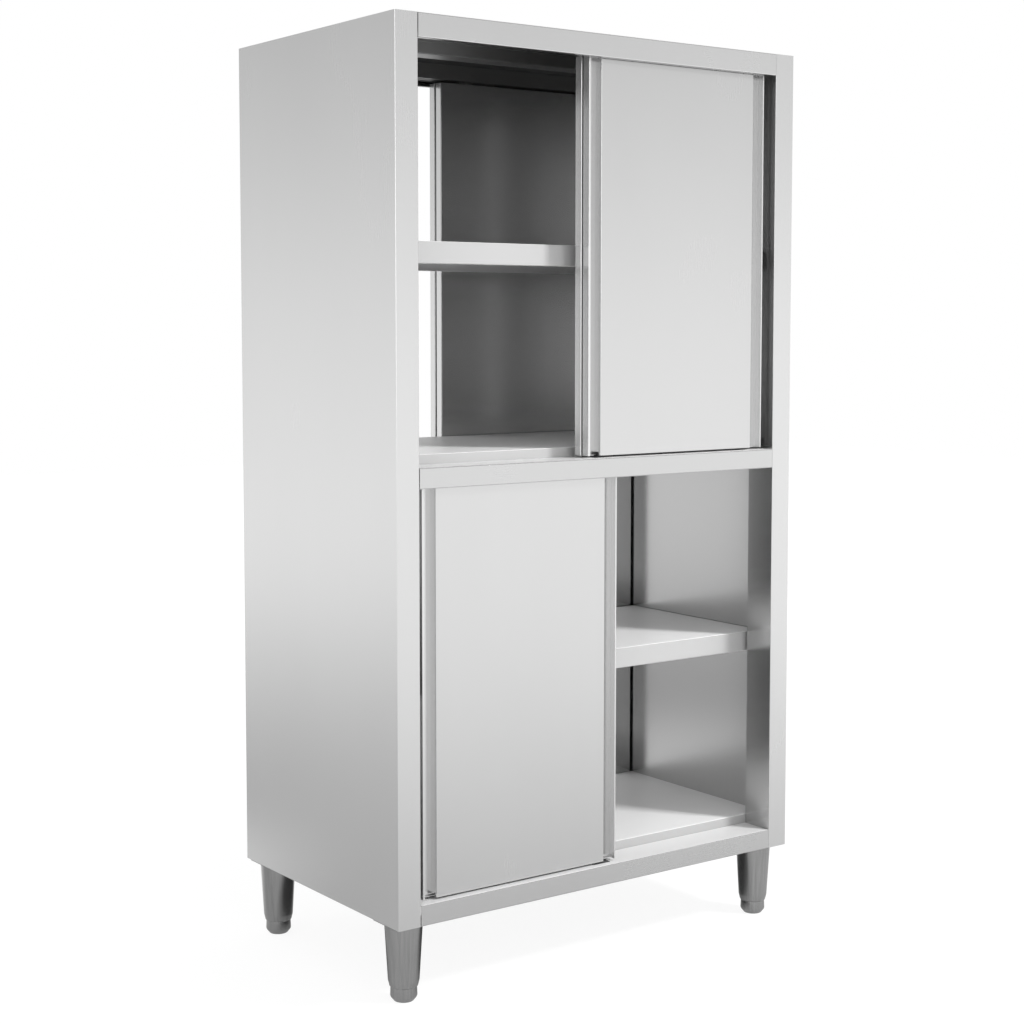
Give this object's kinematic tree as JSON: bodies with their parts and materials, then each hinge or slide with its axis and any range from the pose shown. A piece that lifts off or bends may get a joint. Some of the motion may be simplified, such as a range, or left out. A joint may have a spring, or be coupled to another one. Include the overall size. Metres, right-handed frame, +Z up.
{
  "type": "sliding door cabinet",
  "caption": "Tall steel cupboard open at front and rear through sliding doors, with an upper and a lower compartment, a shelf in each, and levelling legs.",
  "frame": {"origin": "on the floor under the middle of the body, with the feet screwed in", "axes": "+Z up, +X along the width to the right of a viewer at the front, the front faces -Y"},
  "size_m": [1, 0.6, 1.855],
  "materials": {
    "stainless": "fine brushed stainless sheet, satin",
    "track_steel": "folded steel, plain mill finish",
    "leg_steel": "turned stainless tube, satin",
    "nylon": "plain off-white nylon"
  },
  "bodies": {
    "cabinet": {"left_side_panel": "stainless", "right_side_panel": "stainless", "top_panel": "stainless", "upper_tracks": "track_steel", "lower_tracks": "track_steel", "middle_rails": "stainless", "middle_deck": "stainless", "bottom_rails": "stainless", "bottom_deck": "stainless", "upper_shelf": "stainless", "lower_shelf": "stainless", "shelf_brackets": "track_steel", "stiffeners": "track_steel", "floor_guides": "nylon", "leg_plates": "stainless", "legs": "leg_steel"},
    "upper_front_outer_door": {"upper_front_outer_door_face": "stainless", "upper_front_outer_door_back": "stainless", "upper_front_outer_door_hangers": "track_steel"},
    "upper_front_outer_door_left_roller": {"upper_front_outer_door_left_roller": "nylon"},
    "upper_front_outer_door_right_roller": {"upper_front_outer_door_right_roller": "nylon"},
    "upper_front_inner_door": {"upper_front_inner_door_face": "stainless", "upper_front_inner_door_back": "stainless", "upper_front_inner_door_hangers": "track_steel"},
    "upper_front_inner_door_left_roller": {"upper_front_inner_door_left_roller": "nylon"},
    "upper_front_inner_door_right_roller": {"upper_front_inner_door_right_roller": "nylon"},
    "upper_rear_outer_door": {"upper_rear_outer_door_face": "stainless", "upper_rear_outer_door_back": "stainless", "upper_rear_outer_door_hangers": "track_steel"},
    "upper_rear_outer_door_left_roller": {"upper_rear_outer_door_left_roller": "nylon"},
    "upper_rear_outer_door_right_roller": {"upper_rear_outer_door_right_roller": "nylon"},
    "upper_rear_inner_door": {"upper_rear_inner_door_face": "stainless", "upper_rear_inner_door_back": "stainless", "upper_rear_inner_door_hangers": "track_steel"},
    "upper_rear_inner_door_left_roller": {"upper_rear_inner_door_left_roller": "nylon"},
    "upper_rear_inner_door_right_roller": {"upper_rear_inner_door_right_roller": "nylon"},
    "lower_front_outer_door": {"lower_front_outer_door_face": "stainless", "lower_front_outer_door_back": "stainless", "lower_front_outer_door_hangers": "track_steel"},
    "lower_front_outer_door_left_roller": {"lower_front_outer_door_left_roller": "nylon"},
    "lower_front_outer_door_right_roller": {"lower_front_outer_door_right_roller": "nylon"},
    "lower_front_inner_door": {"lower_front_inner_door_face": "stainless", "lower_front_inner_door_back": "stainless", "lower_front_inner_door_hangers": "track_steel"},
    "lower_front_inner_door_left_roller": {"lower_front_inner_door_left_roller": "nylon"},
    "lower_front_inner_door_right_roller": {"lower_front_inner_door_right_roller": "nylon"},
    "lower_rear_outer_door": {"lower_rear_outer_door_face": "stainless", "lower_rear_outer_door_back": "stainless", "lower_rear_outer_door_hangers": "track_steel"},
    "lower_rear_outer_door_left_roller": {"lower_rear_outer_door_left_roller": "nylon"},
    "lower_rear_outer_door_right_roller": {"lower_rear_outer_door_right_roller": "nylon"},
    "lower_rear_inner_door": {"lower_rear_inner_door_face": "stainless", "lower_rear_inner_door_back": "stainless", "lower_rear_inner_door_hangers": "track_steel"},
    "lower_rear_inner_door_left_roller": {"lower_rear_inner_door_left_roller": "nylon"},
    "lower_rear_inner_door_right_roller": {"lower_rear_inner_door_right_roller": "nylon"},
    "front_left_foot": {"front_left_foot": "leg_steel"},
    "front_right_foot": {"front_right_foot": "leg_steel"},
    "rear_left_foot": {"rear_left_foot": "leg_steel"},
    "rear_right_foot": {"rear_right_foot": "leg_steel"}
  },
  "joints": [
    {"name": "upper_front_outer_door_slide", "type": "slide", "parent": "cabinet", "child": "upper_front_outer_door", "axis": [1, 0, 0], "range_m": [-0.409, 0.017]},
    {"name": "upper_front_outer_door_left_roller_spin", "type": "hinge", "parent": "upper_front_outer_door", "child": "upper_front_outer_door_left_roller", "pos_m": [0.031, -0.274, 1.8328], "axis": [0, 1, 0], "range_deg": [-2353, 107]},
    {"name": "upper_front_outer_door_right_roller_spin", "type": "hinge", "parent": "upper_front_outer_door", "child": "upper_front_outer_door_right_roller", "pos_m": [0.361, -0.274, 1.8328], "axis": [0, 1, 0], "range_deg": [-2353, 107]},
    {"name": "upper_front_inner_door_slide", "type": "slide", "parent": "cabinet", "child": "upper_front_inner_door", "axis": [1, 0, 0], "range_m": [-0.409, 0.017]},
    {"name": "upper_front_inner_door_left_roller_spin", "type": "hinge", "parent": "upper_front_inner_door", "child": "upper_front_inner_door_left_roller", "pos_m": [0.031, -0.249, 1.8328], "axis": [0, 1, 0], "range_deg": [-2353, 107]},
    {"name": "upper_front_inner_door_right_roller_spin", "type": "hinge", "parent": "upper_front_inner_door", "child": "upper_front_inner_door_right_roller", "pos_m": [0.361, -0.249, 1.8328], "axis": [0, 1, 0], "range_deg": [-2353, 107]},
    {"name": "upper_rear_outer_door_slide", "type": "slide", "parent": "cabinet", "child": "upper_rear_outer_door", "axis": [1, 0, 0], "range_m": [-0.409, 0.017]},
    {"name": "upper_rear_outer_door_left_roller_spin", "type": "hinge", "parent": "upper_rear_outer_door", "child": "upper_rear_outer_door_left_roller", "pos_m": [0.361, 0.274, 1.8328], "axis": [0, 1, 0], "range_deg": [-2353, 107]},
    {"name": "upper_rear_outer_door_right_roller_spin", "type": "hinge", "parent": "upper_rear_outer_door", "child": "upper_rear_outer_door_right_roller", "pos_m": [0.031, 0.274, 1.8328], "axis": [0, 1, 0], "range_deg": [-2353, 107]},
    {"name": "upper_rear_inner_door_slide", "type": "slide", "parent": "cabinet", "child": "upper_rear_inner_door", "axis": [1, 0, 0], "range_m": [-0.409, 0.017]},
    {"name": "upper_rear_inner_door_left_roller_spin", "type": "hinge", "parent": "upper_rear_inner_door", "child": "upper_rear_inner_door_left_roller", "pos_m": [0.361, 0.249, 1.8328], "axis": [0, 1, 0], "range_deg": [-2353, 107]},
    {"name": "upper_rear_inner_door_right_roller_spin", "type": "hinge", "parent": "upper_rear_inner_door", "child": "upper_rear_inner_door_right_roller", "pos_m": [0.031, 0.249, 1.8328], "axis": [0, 1, 0], "range_deg": [-2353, 107]},
    {"name": "lower_front_outer_door_slide", "type": "slide", "parent": "cabinet", "child": "lower_front_outer_door", "axis": [1, 0, 0], "range_m": [-0.013, 0.413]},
    {"name": "lower_front_outer_door_left_roller_spin", "type": "hinge", "parent": "lower_front_outer_door", "child": "lower_front_outer_door_left_roller", "pos_m": [-0.365, -0.274, 1.0053], "axis": [0, 1, 0], "range_deg": [-84, 2376]},
    {"name": "lower_front_outer_door_right_roller_spin", "type": "hinge", "parent": "lower_front_outer_door", "child": "lower_front_outer_door_right_roller", "pos_m": [-0.035, -0.274, 1.0053], "axis": [0, 1, 0], "range_deg": [-84, 2376]},
    {"name": "lower_front_inner_door_slide", "type": "slide", "parent": "cabinet", "child": "lower_front_inner_door", "axis": [1, 0, 0], "range_m": [-0.013, 0.413]},
    {"name": "lower_front_inner_door_left_roller_spin", "type": "hinge", "parent": "lower_front_inner_door", "child": "lower_front_inner_door_left_roller", "pos_m": [-0.365, -0.249, 1.0053], "axis": [0, 1, 0], "range_deg": [-84, 2376]},
    {"name": "lower_front_inner_door_right_roller_spin", "type": "hinge", "parent": "lower_front_inner_door", "child": "lower_front_inner_door_right_roller", "pos_m": [-0.035, -0.249, 1.0053], "axis": [0, 1, 0], "range_deg": [-84, 2376]},
    {"name": "lower_rear_outer_door_slide", "type": "slide", "parent": "cabinet", "child": "lower_rear_outer_door", "axis": [1, 0, 0], "range_m": [-0.013, 0.413]},
    {"name": "lower_rear_outer_door_left_roller_spin", "type": "hinge", "parent": "lower_rear_outer_door", "child": "lower_rear_outer_door_left_roller", "pos_m": [-0.035, 0.274, 1.0053], "axis": [0, 1, 0], "range_deg": [-84, 2376]},
    {"name": "lower_rear_outer_door_right_roller_spin", "type": "hinge", "parent": "lower_rear_outer_door", "child": "lower_rear_outer_door_right_roller", "pos_m": [-0.365, 0.274, 1.0053], "axis": [0, 1, 0], "range_deg": [-84, 2376]},
    {"name": "lower_rear_inner_door_slide", "type": "slide", "parent": "cabinet", "child": "lower_rear_inner_door", "axis": [1, 0, 0], "range_m": [-0.013, 0.413]},
    {"name": "lower_rear_inner_door_left_roller_spin", "type": "hinge", "parent": "lower_rear_inner_door", "child": "lower_rear_inner_door_left_roller", "pos_m": [-0.035, 0.249, 1.0053], "axis": [0, 1, 0], "range_deg": [-84, 2376]},
    {"name": "lower_rear_inner_door_right_roller_spin", "type": "hinge", "parent": "lower_rear_inner_door", "child": "lower_rear_inner_door_right_roller", "pos_m": [-0.365, 0.249, 1.0053], "axis": [0, 1, 0], "range_deg": [-84, 2376]},
    {"name": "front_left_foot_screw", "type": "slide", "parent": "cabinet", "child": "front_left_foot", "axis": [0, 0, -1], "range_m": [0, 0.025]},
    {"name": "front_right_foot_screw", "type": "slide", "parent": "cabinet", "child": "front_right_foot", "axis": [0, 0, -1], "range_m": [0, 0.025]},
    {"name": "rear_left_foot_screw", "type": "slide", "parent": "cabinet", "child": "rear_left_foot", "axis": [0, 0, -1], "range_m": [0, 0.025]},
    {"name": "rear_right_foot_screw", "type": "slide", "parent": "cabinet", "child": "rear_right_foot", "axis": [0, 0, -1], "range_m": [0, 0.025]}
  ],
  "couplings": [
    {"joint": "upper_front_outer_door_left_roller_spin", "follows": "upper_front_outer_door_slide", "rad_per_m": 100},
    {"joint": "upper_front_outer_door_right_roller_spin", "follows": "upper_front_outer_door_slide", "rad_per_m": 100},
    {"joint": "upper_front_inner_door_left_roller_spin", "follows": "upper_front_inner_door_slide", "rad_per_m": 100},
    {"joint": "upper_front_inner_door_right_roller_spin", "follows": "upper_front_inner_door_slide", "rad_per_m": 100},
    {"joint": "upper_rear_outer_door_left_roller_spin", "follows": "upper_rear_outer_door_slide", "rad_per_m": 100},
    {"joint": "upper_rear_outer_door_right_roller_spin", "follows": "upper_rear_outer_door_slide", "rad_per_m": 100},
    {"joint": "upper_rear_inner_door_left_roller_spin", "follows": "upper_rear_inner_door_slide", "rad_per_m": 100},
    {"joint": "upper_rear_inner_door_right_roller_spin", "follows": "upper_rear_inner_door_slide", "rad_per_m": 100},
    {"joint": "lower_front_outer_door_left_roller_spin", "follows": "lower_front_outer_door_slide", "rad_per_m": 100},
    {"joint": "lower_front_outer_door_right_roller_spin", "follows": "lower_front_outer_door_slide", "rad_per_m": 100},
    {"joint": "lower_front_inner_door_left_roller_spin", "follows": "lower_front_inner_door_slide", "rad_per_m": 100},
    {"joint": "lower_front_inner_door_right_roller_spin", "follows": "lower_front_inner_door_slide", "rad_per_m": 100},
    {"joint": "lower_rear_outer_door_left_roller_spin", "follows": "lower_rear_outer_door_slide", "rad_per_m": 100},
    {"joint": "lower_rear_outer_door_right_roller_spin", "follows": "lower_rear_outer_door_slide", "rad_per_m": 100},
    {"joint": "lower_rear_inner_door_left_roller_spin", "follows": "lower_rear_inner_door_slide", "rad_per_m": 100},
    {"joint": "lower_rear_inner_door_right_roller_spin", "follows": "lower_rear_inner_door_slide", "rad_per_m": 100}
  ]
}
